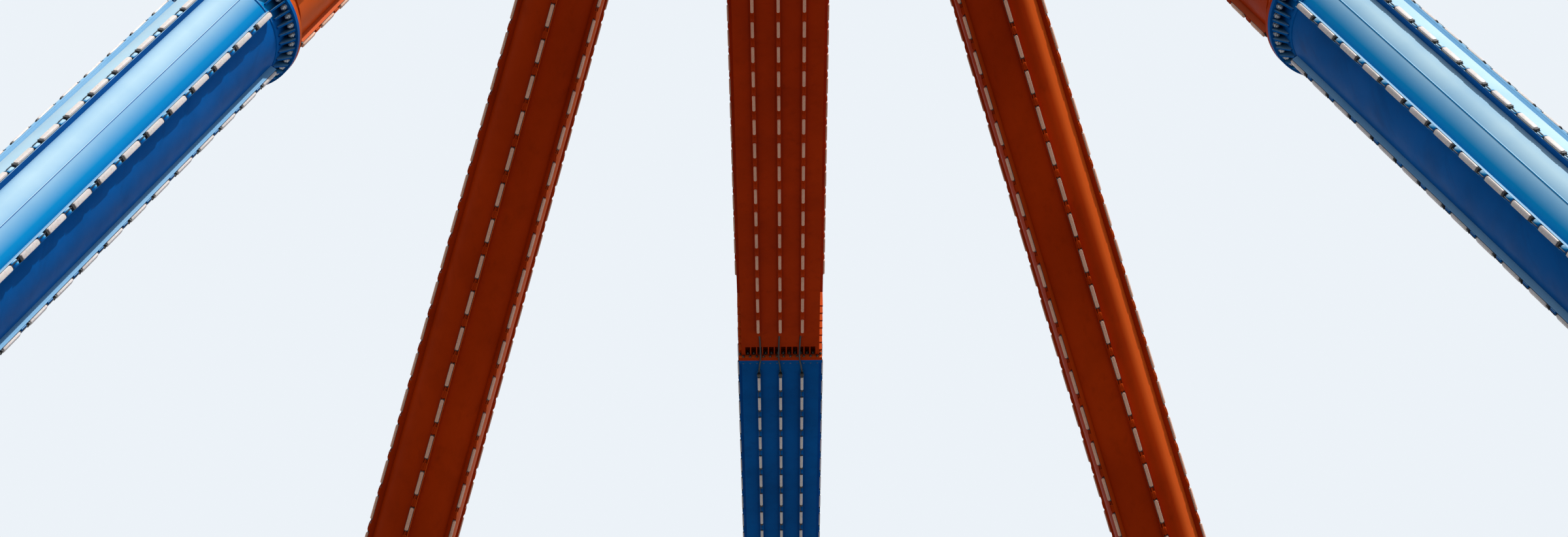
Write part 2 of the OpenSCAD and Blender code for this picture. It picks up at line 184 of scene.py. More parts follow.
def leg_frame(leg):
    """A leg's frame, with +Z down its centre line and the origin at axle height."""
    side, end = LEGS[leg]
    slope_x, slope_y = leg_slope(leg)
    tilt = 180 - math.degrees(math.acos(1 / math.sqrt(1 + slope_x**2 + slope_y**2)))
    heading = math.degrees(math.atan2(end * slope_y, side * slope_x))
    top = Vector((side * LEG_TOP_X, end * LEG_TOP_Y, PIVOT.z))
    return Matrix.Translation(top) @ turned("Z", heading) @ turned("Y", tilt)


def leg_length(leg):
    """Distance along a leg from axle height to the ground."""
    slope_x, slope_y = leg_slope(leg)
    return PIVOT.z * math.sqrt(1 + slope_x**2 + slope_y**2)


def rail_turn(leg, row):
    """Turn of one light rail about its leg, in degrees from the leg frame's +X."""
    side, end = LEGS[leg]
    return -side * end * (90 + RAIL_TURN[end]) + row * 360 / LEG_RAILS


def on_rail(leg, row, s):
    """A frame on top of a leg's rail, with +X outwards and +Z down the leg."""
    place = Matrix.Translation((LEG_D / 2 + RAIL_H, 0, s))
    return leg_frame(leg) @ turned("Z", rail_turn(leg, row)) @ place


ARM = Matrix.Translation(PIVOT) @ turned("X", ARM_ANGLE)


def arm_half(s):
    """Half the arm's width at a distance from the axle."""
    return (ARM_W_TOP + (ARM_W_END - ARM_W_TOP) * s / ARM_LEN) / 2


def arm_row_point(face, row, s):
    """A point on an arm rail, in the arm's frame. Faces are -Y, +Y, -X and +X."""
    axis, sign = face
    if axis == "Y":
        return Vector((row * ROW_SHARE * arm_half(s), sign * (ARM_DEPTH / 2 + RAIL_H), -s))
    out = sign * (arm_half(s) - ARM_WEB_INSET + RAIL_H)
    return Vector((out, row * ROW_SHARE * ARM_DEPTH / 2, -s))


def on_arm_rail(face, row, s):
    """A frame on top of an arm rail, with +X outwards and +Z down the arm."""
    axis, sign = face
    here = arm_row_point(face, row, s)
    along = arm_row_point(face, row, s + 1) - here
    out = Vector((0, sign, 0)) if axis == "Y" else Vector((sign, 0, 0))
    return ARM @ basis(here, out - along * out.dot(along) / along.length_squared, along)


ARM_FACES = [("Y", -1), ("Y", 1), ("X", -1), ("X", 1)]

# Shapes are gathered as arrays of points and faces before they are made into pieces


class Form:
    """Points, the faces' corners one after another, and each face's number of corners."""

    def __init__(self, points=(), loops=(), sizes=()):
        self.points = np.array(points, float).reshape(-1, 3)
        self.loops = np.array(loops, int)
        self.sizes = np.array(sizes, int)

    def add(self, other, matrices=None):
        """Adds a copy of another form at each matrix, or one copy where it is."""
        placed = np.array([np.array(m) for m in (matrices or [Matrix.Identity(4)])])
        count, points = len(placed), len(other.points)
        spread = np.c_[other.points, np.ones(points)]
        moved = np.einsum("nij,pj->npi", placed, spread)[:, :, :3].reshape(-1, 3)
        starts = len(self.points) + points * np.arange(count)
        self.loops = np.concatenate([self.loops, (starts[:, None] + other.loops[None, :]).ravel()])
        self.sizes = np.concatenate([self.sizes, np.tile(other.sizes, count)])
        self.points = np.concatenate([self.points, moved])
        return self


def loft(rings):
    """A closed form through rings that each run counterclockwise about their direction."""
    rings = np.array(rings, float)
    count, corners = rings.shape[:2]
    step = np.arange(corners)
    after = (step + 1) % corners
    loops, sizes = [], []
    for k in range(count - 1):
        low = k * corners
        high = low + corners
        quads = np.stack([low + step, low + after, high + after, high + step], 1)
        loops.append(quads.ravel())
        sizes += [4] * corners
    loops.append(step[::-1])
    loops.append((count - 1) * corners + step)
    sizes += [corners, corners]
    return Form(rings.reshape(-1, 3), np.concatenate(loops), sizes)


def slab_ring(x, width, length, corner, steps=2):
    """A rounded rectangle across +X, as wide as width in Y and as long as length in Z."""
    points = []
    for quarter in range(4):
        sy = 1 if quarter in (0, 3) else -1
        sz = 1 if quarter in (0, 1) else -1
        centre = (sy * (width / 2 - corner), sz * (length / 2 - corner))
        for k in range(steps + 1):
            angle = math.radians(90 * (quarter + k / steps))
            across = centre[0] + corner * math.cos(angle)
            along = centre[1] + corner * math.sin(angle)
            points.append((x, across, along))
    return points


def round_ring(x, radius, sides):
    """A regular polygon across +X."""
    angles = [2 * math.pi * k / sides for k in range(sides)]
    return [(x, radius * math.cos(a), radius * math.sin(a)) for a in angles]


def slab(width, length, low, high, corner, bevel, steps=1):
    """A plate with rounded corners and a bevelled top, between two heights in X."""
    return loft([
        slab_ring(low, width, length, corner, steps),
        slab_ring(high - bevel, width, length, corner, steps),
        slab_ring(high, width - 2 * bevel, length - 2 * bevel, corner, steps),
    ])


def block(width, length, low, high, corner=0.003):
    """A plate with plain edges and cut corners, between two heights in X."""
    return loft([slab_ring(low, width, length, corner, 1), slab_ring(high, width, length, corner, 1)])


def drum(radius, low, high, sides, bevel):
    """A round form across +X with bevelled edges."""
    return loft([
        round_ring(low, radius - bevel, sides),
        round_ring(low + bevel, radius, sides),
        round_ring(high - bevel, radius, sides),
        round_ring(high, radius - bevel, sides),
    ])


def hex_bolt(flats, head, stud=0.0):
    """A hexagon head or nut on a washer, with an optional stud end standing out of it."""
    corner = flats / math.sqrt(3)
    washer = flats * 0.61
    plate = flats * 0.12
    form = loft([round_ring(0, washer, 8), round_ring(plate, washer, 8)])
    form.add(loft([
        round_ring(plate, corner, 6),
        round_ring(plate + head * 0.85, corner, 6),
        round_ring(plate + head, corner * 0.86, 6),
    ]))
    if stud:
        radius = flats * 0.28
        top = plate + head + stud
        form.add(loft([
            round_ring(plate + head * 0.9, radius, 6),
            round_ring(top - radius * 0.2, radius, 6),
            round_ring(top, radius * 0.8, 6),
        ]))
    return form


def tube(path, radius, sides=8):
    """A round tube along a path of points, with one radius or a list of one for each point."""
    path = [Vector(p) for p in path]
    rings, normal = [], None
    for k, here in enumerate(path):
        ahead = path[min(k + 1, len(path) - 1)] - path[max(k - 1, 0)]
        ahead.normalize()
        if normal is None:
            normal = ahead.orthogonal()
        normal = (normal - ahead * normal.dot(ahead)).normalized()
        across = ahead.cross(normal)
        size = radius[k] if isinstance(radius, list) else radius
        ring = []
        for j in range(sides):
            angle = 2 * math.pi * j / sides
            ring.append(here + size * (math.cos(angle) * normal + math.sin(angle) * across))
        rings.append(ring)
    return loft(rings)


def smooth_path(points, steps):
    """A Catmull-Rom curve through points, with a number of steps from one to the next."""
    points = [Vector(p) for p in points]
    points = [2 * points[0] - points[1]] + points + [2 * points[-1] - points[-2]]
    made = []
    for a, b, c, d in zip(points, points[1:], points[2:], points[3:]):
        for k in range(steps):
            t = k / steps
            made.append(0.5 * (2 * b + t * (c - a) + t**2 * (2 * a - 5 * b + 4 * c - d)
                               + t**3 * (3 * b - a - 3 * c + d)))
    return made + [points[-2]]


def pad(width, length, rise, channels, cells=(10, 14)):
    """A crowned cushion across +X, with sewn channels across its length."""
    across, along = cells
    points, faces = [], []
    for j in range(along + 1):
        v = -1 + 2 * j / along
        for i in range(across + 1):
            u = -1 + 2 * i / across
            pull = 1 - 0.05 * (1 - v * v) * abs(u) ** 3
            crown = ((1 - u**6) * (1 - v**6)) ** 0.35 * (0.80 + 0.20 * (1 - u * u))
            if channels:
                groove = abs(math.cos(math.pi * channels * (v + 1) / 2))
                crown *= 1 - 0.30 * (1 - min(1.0, groove * 3.0)) * (1 - abs(v) ** 6)
            points.append((rise * crown, u * width / 2 * pull, v * length / 2))
    row = across + 1
    for j in range(along):
        for i in range(across):
            a = j * row + i
            faces.append((a, a + 1, a + 1 + row, a + row))
    top = len(points)
    edge = list(range(row))
    edge += [j * row + across for j in range(1, along + 1)]
    edge += [along * row + i for i in range(across - 1, -1, -1)]
    edge += [j * row for j in range(along - 1, 0, -1)]
    for index in edge:
        points.append((-rise * 0.30, points[index][1], points[index][2]))
    for k, index in enumerate(edge):
        after = (k + 1) % len(edge)
        faces.append((edge[after], index, top + k, top + after))
    faces.append(tuple(range(top + len(edge) - 1, top - 1, -1)))
    return Form(points, [c for f in faces for c in f], [len(f) for f in faces])


def piece(name, form, body, material, smooth=38):
    """Makes a form into a mesh object that rides on a body."""
    mesh = bpy.data.meshes.new(name)
    mesh.vertices.add(len(form.points))
    mesh.vertices.foreach_set("co", form.points.astype(np.float32).ravel())
    mesh.loops.add(len(form.loops))
    mesh.loops.foreach_set("vertex_index", form.loops.astype(np.int32))
    mesh.polygons.add(len(form.sizes))
    mesh.polygons.foreach_set("loop_start", (np.cumsum(form.sizes) - form.sizes).astype(np.int32))
    mesh.update(calc_edges=True)
    mesh.validate()
    mesh.shade_smooth()
    mesh.set_sharp_from_angle(angle=math.radians(smooth))
    mesh.materials.append(material)
    made = bpy.data.objects.new(name, mesh)
    bpy.context.scene.collection.objects.link(made)
    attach(made, body)
    return made


# Materials


def toned(colour, share):
    """A colour made darker or lighter by a share."""
    return tuple(c * share for c in colour[:3]) + (1,)


class Shader:
    """A material with one Principled shader, and short ways to add nodes to it."""

    def __init__(self, name, **values):
        self.material = bpy.data.materials.new(name)
        self.material.use_nodes = True
        self.tree = self.material.node_tree
        self.shader = next(n for n in self.tree.nodes if n.type == "BSDF_PRINCIPLED")
        self.place = self.node("ShaderNodeTexCoord").outputs["Object"]
        for key, value in values.items():
            self.shader.inputs[key.replace("_", " ")].default_value = value

    def node(self, kind, settings=None, **links):
        """Adds a node. Its sockets go by their names, or by their numbers as i0, i1 and so on."""
        made = self.tree.nodes.new(kind)
        for key, value in (settings or {}).items():
            setattr(made, key, value)
        for key, value in links.items():
            numbered = key[0] == "i" and key[1:].isdigit()
            self.feed(made.inputs[int(key[1:]) if numbered else key.replace("_", " ")], value)
        return made

    def feed(self, socket, value):
        """Links a node's output to a socket, or sets the socket to a value."""
        if isinstance(value, bpy.types.NodeSocket):
            self.tree.links.new(value, socket)
        else:
            socket.default_value = value

    def combine(self, operation, a, b):
        """Works out one value from two."""
        return self.node("ShaderNodeMath", {"operation": operation}, i0=a, i1=b).outputs[0]

    def stretched(self, scale):
        return self.node("ShaderNodeMapping", Vector=self.place, Scale=scale).outputs[0]

    def noise(self, scale, detail, roughness=0.55, place=None):
        made = self.node("ShaderNodeTexNoise", Vector=place or self.place, Scale=scale,
                         Detail=detail, Roughness=roughness)
        return made.outputs["Fac"]

    def ramp(self, fac, low, high, start=0.0, end=1.0):
        """Maps a value from one range to another, and holds it there."""
        made = self.node("ShaderNodeMapRange", Value=fac, From_Min=low, From_Max=high,
                         To_Min=start, To_Max=end)
        return made.outputs[0]

    def mix(self, fac, a, b):
        return self.node("ShaderNodeMix", {"data_type": "RGBA"}, i0=fac, i6=a, i7=b).outputs[2]

    def up_facing(self, low, high, most=1.0, lean=0.0):
        """How much a surface faces the sky at rest, leaning towards the sun on the right."""
        normal = self.node("ShaderNodeTexCoord").outputs["Normal"]
        facing = self.node("ShaderNodeVectorMath", {"operation": "DOT_PRODUCT"}, i0=normal,
                           i1=(lean, 0.0, 1.0)).outputs["Value"]
        return self.ramp(facing, low, high, 0.0, most)

    def link(self, output, name):
        self.tree.links.new(output, self.shader.inputs[name])

    def bump(self, height, distance, strength):
        made = self.node("ShaderNodeBump", Height=height, Distance=distance, Strength=strength)
        self.link(made.outputs[0], "Normal")


def paint(name, deep, bright, fade_and_sunlight, whitening_and_highlight, whitening_and_highlight_share, lean=0.0, coat=0.0):
    """Gloss paint on steel: a little uneven, with rain marks and painted shade in its corners,
    faded and lit with painted sunlight where it faces the sky and the sun on the right, then chalked with a
    painted sun highlight where it faces the sky."""
    s = Shader(name, Metallic=0.0, Specular_IOR_Level=0.025, Coat_Weight=coat, Coat_Roughness=0.30)
    tone = s.ramp(s.noise(0.9, 5.0), 0.32, 0.68)
    colour = s.mix(tone, deep, bright)
    patch = s.ramp(s.noise(3.7, 7.0, 0.62), 0.46, 0.70, 0.0, 0.30)
    colour = s.mix(patch, colour, toned(deep, 0.62))
    marks = s.ramp(s.noise(1.0, 6.0, 0.6, s.stretched((14.0, 14.0, 0.9))), 0.56, 0.74, 0.0, 0.24)
    colour = s.mix(marks, colour, toned(deep, 0.45))
    # Painted sunlight, partly real sun-fading: faces turned up, and on the orange paint faces turned to the sun on
    # the right, take a brighter tone.
    colour = s.mix(s.up_facing(-0.04, 0.16, 0.85, lean), colour, fade_and_sunlight)
    corner = s.node("ShaderNodeAmbientOcclusion", {"samples": 3}, Distance=0.07).outputs["AO"]
    open_sky = s.ramp(corner, 0.45, 0.85, 0.25, 1.0)
    # Painted highlight, partly real chalking: up-facing faces away from corners go pale, standing in for the sun's
    # broad highlight on the gloss paint.
    whitening_and_highlight_mask = s.combine("MULTIPLY", s.up_facing(0.15, 0.42, whitening_and_highlight_share), open_sky)
    whitening_and_highlight_mask = s.combine("MULTIPLY", whitening_and_highlight_mask, s.ramp(s.noise(2.2, 6.0), 0.30, 0.62, 0.80, 1.0))
    colour = s.mix(whitening_and_highlight_mask, colour, whitening_and_highlight)
    # Painted shade: the paint goes near black where the ambient occlusion finds corners and recesses.
    colour = s.mix(s.ramp(corner, 0.18, 0.58, 0.85, 0.0), colour, toned(deep, 0.16))
    s.link(colour, "Base Color")
    s.link(s.ramp(s.noise(6.0, 6.0, 0.65), 0.3, 0.7, 0.36, 0.50), "Roughness")
    skin = s.combine("ADD", s.noise(2.4, 3.0), s.ramp(s.noise(160.0, 2.0), 0.0, 1.0, 0.0, 0.10))
    s.bump(skin, 0.006, 0.35)
    return s.material


def orange_paint():
    return paint("orange_paint", deep=(0.46, 0.034, 0.001, 1), bright=(0.60, 0.048, 0.002, 1),
                 fade_and_sunlight=(0.92, 0.140, 0.016, 1), whitening_and_highlight=(0.52, 0.15, 0.07, 1), whitening_and_highlight_share=0.80, lean=0.58)


def blue_paint():
    return paint("blue_paint", deep=(0.0, 0.102, 0.38, 1), bright=(0.001, 0.148, 0.53, 1),
                 fade_and_sunlight=(0.002, 0.33, 0.72, 1), whitening_and_highlight=(0.60, 0.84, 0.97, 1), whitening_and_highlight_share=0.92)


def shell_paint():
    return paint("seat_shell", deep=(0.50, 0.045, 0.004, 1), bright=(0.62, 0.065, 0.006, 1),
                 fade_and_sunlight=(0.66, 0.10, 0.02, 1), whitening_and_highlight=(0.78, 0.40, 0.28, 1), whitening_and_highlight_share=0.25, coat=0.25)


def lens_plastic(name, dim, clear, gloss):
    """Milky plastic over rows of small lamps, with a little dust."""
    s = Shader(name, Specular_IOR_Level=gloss, Subsurface_Weight=0.15, Subsurface_Scale=0.01)
    dots = s.node("ShaderNodeTexVoronoi", Vector=s.place, Scale=70.0).outputs["Distance"]
    colour = s.mix(s.ramp(dots, 0.15, 0.45), dim, clear)
    colour = s.mix(s.ramp(s.noise(5.0, 6.0), 0.45, 0.75, 0.0, 0.5), colour, toned(clear, 0.68))
    s.link(colour, "Base Color")
    s.link(s.ramp(s.noise(30.0, 4.0), 0.3, 0.7, 0.24, 0.44), "Roughness")
    s.bump(s.noise(220.0, 2.0), 0.001, 0.3)
    return s.material


def dark_plastic(name, tone):
    """Weathered black plastic or rubber."""
    s = Shader(name, Specular_IOR_Level=0.35)
    colour = s.mix(s.ramp(s.noise(8.0, 6.0), 0.4, 0.7), (tone, tone, tone * 1.1, 1),
                   (tone * 2.6, tone * 2.5, tone * 2.5, 1))
    s.link(colour, "Base Color")
    s.link(s.ramp(s.noise(14.0, 4.0), 0.3, 0.7, 0.42, 0.66), "Roughness")
    s.bump(s.noise(300.0, 3.0), 0.001, 0.5)
    return s.material


def zinc(name, low, high, spangle=60.0):
    """Zinc-coated steel with a faint spangle and paler weathering."""
    s = Shader(name, Metallic=0.85, Specular_IOR_Level=0.5)
    cells = s.node("ShaderNodeTexVoronoi", Vector=s.place, Scale=spangle).outputs["Color"]
    grey = s.node("ShaderNodeSeparateColor", Color=cells).outputs[0]
    colour = s.mix(grey, low, high)
    colour = s.mix(s.ramp(s.noise(5.0, 7.0), 0.50, 0.72, 0.0, 0.6), colour, toned(high, 1.15))
    s.link(colour, "Base Color")
    s.link(s.ramp(s.noise(9.0, 6.0), 0.3, 0.7, 0.34, 0.58), "Roughness")
    s.bump(s.noise(90.0, 4.0), 0.002, 0.3)
    return s.material


def machined_steel():
    """Turned steel with fine rings around the axle and a film of grease."""
    s = Shader("machined_steel", Metallic=1.0, Anisotropic=0.4)
    rings = s.noise(1.0, 3.0, 0.5, s.stretched((400.0, 6.0, 6.0)))
    colour = s.mix(s.ramp(rings, 0.3, 0.7), (0.42, 0.42, 0.43, 1), (0.62, 0.61, 0.60, 1))
    colour = s.mix(s.ramp(s.noise(7.0, 6.0), 0.52, 0.70, 0.0, 0.7), colour, (0.10, 0.075, 0.05, 1))
    s.link(colour, "Base Color")
    s.link(s.ramp(s.noise(11.0, 5.0), 0.3, 0.7, 0.22, 0.48), "Roughness")
    s.bump(rings, 0.001, 0.3)
    return s.material


def satin_paint(name, deep, bright):
    """Satin machine paint with a cast skin and grime."""
    s = Shader(name, Specular_IOR_Level=0.45)
    colour = s.mix(s.ramp(s.noise(3.0, 6.0), 0.35, 0.65), deep, bright)
    grime = s.ramp(s.noise(12.0, 7.0, 0.65), 0.52, 0.72, 0.0, 0.5)
    colour = s.mix(grime, colour, toned(deep, 0.4))
    s.link(colour, "Base Color")
    s.link(s.ramp(s.noise(12.0, 4.0), 0.3, 0.7, 0.36, 0.58), "Roughness")
    s.bump(s.noise(140.0, 4.0), 0.0015, 0.4)
    return s.material


def seat_vinyl():
    """Black grained vinyl on the seat pads."""
    s = Shader("seat_vinyl", Specular_IOR_Level=0.4, Sheen_Weight=0.1)
    grain = s.node("ShaderNodeTexVoronoi", Vector=s.place, Scale=420.0).outputs["Distance"]
    colour = s.mix(s.ramp(s.noise(9.0, 6.0), 0.35, 0.7), (0.022, 0.022, 0.025, 1),
                   (0.050, 0.050, 0.054, 1))
    s.link(colour, "Base Color")
    s.link(s.ramp(s.noise(20.0, 4.0), 0.3, 0.7, 0.40, 0.60), "Roughness")
    s.bump(grain, 0.0008, 0.5)
    return s.material


ORANGE = orange_paint()
BLUE = blue_paint()
PAINTS = {"orange": ORANGE, "blue": BLUE}
# The lenses of the orange rows are a warmer, brighter copy of the same lens: painted light for the orange light
# bounced onto them from the paint.
LENSES = {
    "orange": lens_plastic("warm_lens", (0.93, 0.46, 0.31, 1), (1.0, 0.60, 0.43, 1), 0.08),
    "blue": lens_plastic("pale_lens", (0.76, 0.67, 0.63, 1), (0.90, 0.82, 0.78, 1), 0.35),
}
DARK = dark_plastic("dark_plastic", 0.018)
CABLE = dark_plastic("cable_rubber", 0.006)
ZINC = zinc("zinc", (0.30, 0.31, 0.32, 1), (0.52, 0.53, 0.54, 1))
# A darkened copy of the zinc for the arm's bolts: partly weathering, partly painted shade for the shadowed pockets
# and sides at the arm's splice.
DULL_BOLTS = zinc("dull_bolts", (0.045, 0.038, 0.034, 1), (0.10, 0.085, 0.075, 1))
GALVANISED = zinc("galvanised", (0.34, 0.35, 0.36, 1), (0.46, 0.47, 0.48, 1), 110.0)
MACHINED = machined_steel()
DRIVE = satin_paint("drive_paint", (0.055, 0.060, 0.066, 1), (0.085, 0.092, 0.10, 1))
FRAME = satin_paint("frame_paint", (0.36, 0.37, 0.39, 1), (0.48, 0.49, 0.51, 1))
SHELL = shell_paint()
VINYL = seat_vinyl()

SLOT_MATERIAL = {
    "orange_paint": ORANGE,
    "blue_paint": BLUE,
    "foot_steel": GALVANISED,
    "machined_steel": MACHINED,
    "drive_paint": DRIVE,
    "frame_paint": FRAME,
    "seat_shell": SHELL,
}


def dress_cad_nodes():
    """Gives each CAD node the material of its slot."""
    for part in frame["record"]["subparts"]:
        node = frame["nodes"][part["node"]]
        node.data.materials.clear()
        node.data.materials.append(SLOT_MATERIAL[part["material_slot"]])


# Light modules, their rails' lips and their clips


def lens_form(width):
    """The milky cover of one light module, with rounded ends."""
    top = MODULE_RISE
    return loft([
        slab_ring(0.004, width, MODULE_LEN - 0.004, 0.009),
        slab_ring(top - 0.005, width, MODULE_LEN - 0.004, 0.009),
        slab_ring(top - 0.0012, width - 0.004, MODULE_LEN - 0.008, 0.007),
        slab_ring(top, width - 0.011, MODULE_LEN - 0.016, 0.005),
    ])


def tray_form():
    """The dark tray under a light module."""
    return block(TRAY_W, MODULE_LEN + 0.006, 0.0, 0.008, 0.004)


def cap_form():
    """The two dark end caps of a light module on the blue rows."""
    end = MODULE_LEN / 2 + 0.001
    cap = block(0.022, 0.008, 0.004, MODULE_RISE - 0.004)
    return Form().add(cap, [Matrix.Translation((0, 0, way * end)) for way in (-1, 1)])


def clip_form():
    """The painted saddle in the foot end of the gap between two light modules."""
    saddle = slab(0.028, 0.052, 0.0, 0.013, 0.005, 0.003)
    return block(0.012, 0.078, 0.0, 0.005).add(saddle, [Matrix.Translation((0, 0, 0.010))])


def link_form():
    """The short wire between two light modules."""
    half = PITCH / 2 - MODULE_LEN / 2
    path = [
        (0.006, 0.004, -half),
        (0.014, 0.006, -half * 0.4),
        (0.015, 0.006, half * 0.5),
        (0.007, 0.004, half),
    ]
    return tube(path, 0.0024, 5)


def plug_form():
    """The dark plug under the foot of a light module on the blue rows, also standing in as painted shade for the
    dark gap at that end.
    """
    foot = Matrix.Translation((0, 0, 0.009 - PITCH / 2 + MODULE_LEN / 2))
    return Form().add(block(0.025, 0.013, 0.0, 0.0165), [foot])


def lip_form(length):
    """The two upstanding edges of a rail, along its whole length."""
    out = RAIL_W / 2 - 0.001
    lip = slab(0.003, length, -0.002, 0.0065, 0.0005, 0.0008)
    return Form().add(lip, [Matrix.Translation((0, way * out, 0)) for way in (-1, 1)])


def module_places(phase, low, high):
    """Distances of the light modules that reach past neither end by more than the slack."""
    first = math.ceil((low + MODULE_LEN / 2 - MODULE_SLACK) / PITCH - phase)
    last = math.floor((high - MODULE_LEN / 2 + MODULE_SLACK) / PITCH - phase)
    return [(phase + k) * PITCH for k in range(first, last + 1)]


def light_rows(name, body, rows, lens_width):
    """Adds every module, lip and clip of the rows. A row is a colour, a phase, its two ends
    and a function that gives the frame on top of its rail."""
    colours = list(PAINTS)
    lenses = {colour: Form() for colour in colours}
    painted = {colour: Form() for colour in colours}
    housings = Form()
    for colour, phase, low, high, place in rows:
        middles = module_places(phase, low, high)
        places = [place(s) for s in middles]
        gaps = [place(s + PITCH / 2) for s in middles[:-1]]
        lenses[colour].add(lens_form(lens_width), places)
        housings.add(tray_form(), places)
        painted[colour].add(clip_form(), gaps)
        if colour == "blue":
            housings.add(cap_form(), places).add(link_form(), gaps).add(plug_form(), gaps)
        else:
            painted[colour].add(link_form(), gaps)
        painted[colour].add(lip_form(high - low), [place((low + high) / 2)])
    piece(f"light_housings_{name}", housings, body, DARK)
    for colour in colours:
        piece(f"{colour}_light_lenses_{name}", lenses[colour], body, LENSES[colour])
        piece(f"{colour}_rail_trim_{name}", painted[colour], body, PAINTS[colour])


def leg_lights(leg):
    """The six rows of light modules along a leg, each in an orange and a blue part."""
    end = LEGS[leg][1]
    foot_joint = leg_length(leg) - FOOT_STUMP
    spans = [
        ("orange", HEAD_JOINT_S + RAIL_SETBACK, LEG_SPLICE_S - FLANGE_END_LEN - RAIL_GAP),
        ("blue", LEG_SPLICE_S + FLANGE_END_LEN + RAIL_GAP, foot_joint - RAIL_SETBACK),
    ]
    rows = []
    for row in range(LEG_RAILS):
        phase = ODD_PHASE.get((leg, row), ROW_PHASE[end])
        for colour, low, high in spans:
            rows.append((colour, phase, low, high, partial(on_rail, leg, row)))
    light_rows(leg, "structure", rows, WIDE_LENS if end == FRONT else SLIM_LENS)


def arm_lights():
    """Three rows of light modules along each face of the arm, with a gap at its splice."""
    rows = []
    for face in ARM_FACES:
        for row in (-1, 0, 1):
            place = partial(on_arm_rail, face, row)
            upper_end = ARM_SPLICE_S - (ARM_RAIL_END if face[0] == "Y" else ARM_STIFF_LEN)
            lower_start = ARM_SPLICE_S + FLANGE_END_LEN
            rows.append(("orange", ARM_PHASE_UPPER, ARM_NECK + RAIL_SETBACK, upper_end, place))
            rows.append(("blue", ARM_PHASE_LOWER, lower_start, ARM_LEN - RAIL_SETBACK, place))
    light_rows("arm", "arm", rows, SLIM_LENS)


# Bolts, welds and fittings of the legs


def bolt_ring(radius, count, s, way, turn):
    """Frames around a ring flange, with +X along the leg, down it or up it."""
    made = []
    for k in range(count):
        angle = math.radians(turn + 360 * k / count)
        radial = Vector((math.cos(angle), math.sin(angle), 0))
        made.append(basis(radial * radius + Vector((0, 0, s)), (0, 0, way), radial))
    return made


def leg_bolts(leg):
    """Bolts of a leg's three ring joints, with heads above the flanges and nuts below them."""
    at = leg_frame(leg)
    radius = LEG_D / 2 + FLANGE_RIM * 0.50
    nut = hex_bolt(0.027, 0.015, stud=0.012)
    head = hex_bolt(0.027, 0.012)
    form = Form()
    half_step = 180 / FLANGE_BOLTS
    foot_joint = leg_length(leg) - FOOT_STUMP
    for s, turn in ((LEG_SPLICE_S, 0.0), (HEAD_JOINT_S, half_step), (foot_joint, half_step)):
        down = bolt_ring(radius, FLANGE_BOLTS, s + FLANGE_T, 1, turn)
        up = bolt_ring(radius, FLANGE_BOLTS, s - FLANGE_T, -1, turn)
        form.add(nut, [at @ m for m in down])
        form.add(head, [at @ m for m in up])
    piece(f"leg_bolts_{leg}", form, "structure", ZINC)


def ring_bead(radius, s, bead=0.007, around=72, section=6):
    """A weld bead around a tube, in the leg's frame."""
    rings = []
    for k in range(around + 1):
        angle = 2 * math.pi * k / around
        size = bead * (1 + 0.10 * math.sin(k * 2.7))
        ring = []
        for j in range(section):
            turn = -2 * math.pi * j / section
            out = radius + size * math.cos(turn)
            ring.append((out * math.cos(angle), out * math.sin(angle), s + size * math.sin(turn)))
        rings.append(ring)
    return loft(rings)


def leg_welds(leg):
    """Weld beads around a leg, where tube sections and flanges meet, and along its seam."""
    side, end = LEGS[leg]
    at = leg_frame(leg)
    foot_joint = leg_length(leg) - FOOT_STUMP
    seam_turn = math.radians(rail_turn(leg, 0) + (210 if side * end > 0 else 150))
    seam_radius = LEG_D / 2 - 0.0015
    seam_x, seam_y = seam_radius * math.cos(seam_turn), seam_radius * math.sin(seam_turn)
    for colour, low, high in (
        ("orange", HEAD_JOINT_S + FLANGE_T, LEG_SPLICE_S - FLANGE_END_LEN),
        ("blue", LEG_SPLICE_S + FLANGE_END_LEN, foot_joint - FLANGE_T),
    ):
        form = Form()
        for s in (low, high):
            form.add(ring_bead(LEG_D / 2 - 0.002, s), [at])
        seam = [(seam_x, seam_y, low + (high - low) * k / SEAM_STEPS) for k in range(SEAM_STEPS + 1)]
        form.add(tube(seam, 0.0045, 6), [at])
        piece(f"{colour}_leg_welds_{leg}", form, "structure", PAINTS[colour])


def foot_fittings(leg):
    """Anchor nuts with square washers on a foot plate."""
    mount = MOUNTS[f"{leg}_foot"]["pos_m"]
    dims = MOUNTS["front_left_anchors"]["dims"]
    half_x, half_y = dims["spacing_x_mm"] * MM / 2, dims["spacing_y_mm"] * MM / 2
    washer_t = 0.010
    anchor = slab(0.092, 0.092, 0, washer_t, 0.006, 0.002)
    anchor.add(hex_bolt(0.058, 0.030, stud=0.040), [Matrix.Translation((washer_t, 0, 0))])
    places = []
    for x in (mount[0] - half_x, mount[0] + half_x):
        for y in (mount[1] - half_y, mount[1] + half_y):
            places.append(basis((x, y, FOOT_T), (0, 0, 1), (0, 1, 0)))
    piece(f"anchor_nuts_{leg}", Form().add(anchor, places), "structure", ZINC)


# Head, drives and arm


def axle_frame(side, x, radius, turn):
    """A frame at a distance along the axle and a radius around it, with +X away from the arm."""
    angle = math.radians(turn)
    radial = Vector((0, math.cos(angle), math.sin(angle)))
    return basis(PIVOT + Vector((side * x, 0, 0)) + radial * radius, (side, 0, 0), radial)


def axle_ring(side, x, radius, count, start=0.0):
    """Frames at even steps around the axle."""
    return [axle_frame(side, x, radius, start + 360 * k / count) for k in range(count)]


def case_in():
    """Distance from the swing plane to the side of a gear case that meets its head."""
    return abs(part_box("gear_case_right")[0].x)


def drive_frames(side):
    """Frames where the drive motors of one head stand on its gear case."""
    radius = SLEW_D / 2 - DRIVE_D / 2
    return axle_ring(side, case_in() + GEAR_T, radius, DRIVE_COUNT, 180 / DRIVE_COUNT)


